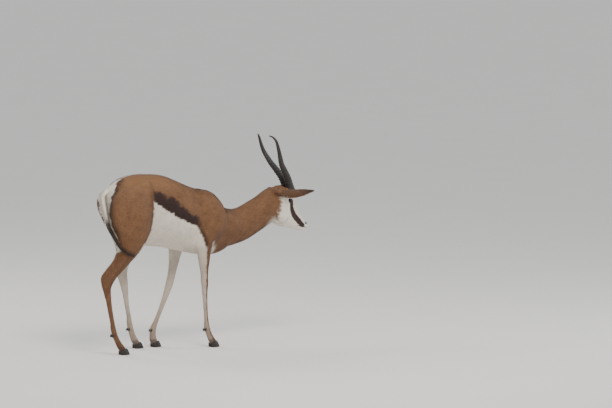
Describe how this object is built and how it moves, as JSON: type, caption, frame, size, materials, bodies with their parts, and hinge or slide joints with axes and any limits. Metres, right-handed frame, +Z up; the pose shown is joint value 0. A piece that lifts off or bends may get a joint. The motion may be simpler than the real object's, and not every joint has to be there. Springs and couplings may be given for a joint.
{
  "type": "springbok",
  "caption": "Life-size still model of a springbok ram walking slowly, head low and forward, ears level, tail swung to one side.",
  "frame": {"origin": "centre of the bounding box's base, on the floor under the animal", "axes": "+X the way the animal faces, +Y its left side, +Z up"},
  "size_m": [1.186, 0.29, 0.9941],
  "materials": {
    "hide": "short fawn, chocolate and white hair that lies flat",
    "tail_hair": "short white hair that ends in a black tuft",
    "horn": "ringed blackish horn, smoother at the tip",
    "hoof": "satin black horn",
    "eye": "wet, glossy dark brown"
  },
  "bodies": {
    "root": {"ear_left": "hide", "ear_right": "hide", "eye_left": "eye", "eye_right": "eye", "head": "hide", "hoof_front_left_inner": "hoof", "hoof_front_left_outer": "hoof", "hoof_front_right_inner": "hoof", "hoof_front_right_outer": "hoof", "hoof_hind_left_inner": "hoof", "hoof_hind_left_outer": "hoof", "hoof_hind_right_inner": "hoof", "hoof_hind_right_outer": "hoof", "horn_left": "horn", "horn_right": "horn", "leg_front_left": "hide", "leg_front_right": "hide", "leg_hind_left": "hide", "leg_hind_right": "hide", "neck": "hide", "tail": "tail_hair", "torso": "hide"}
  },
  "joints": []
}
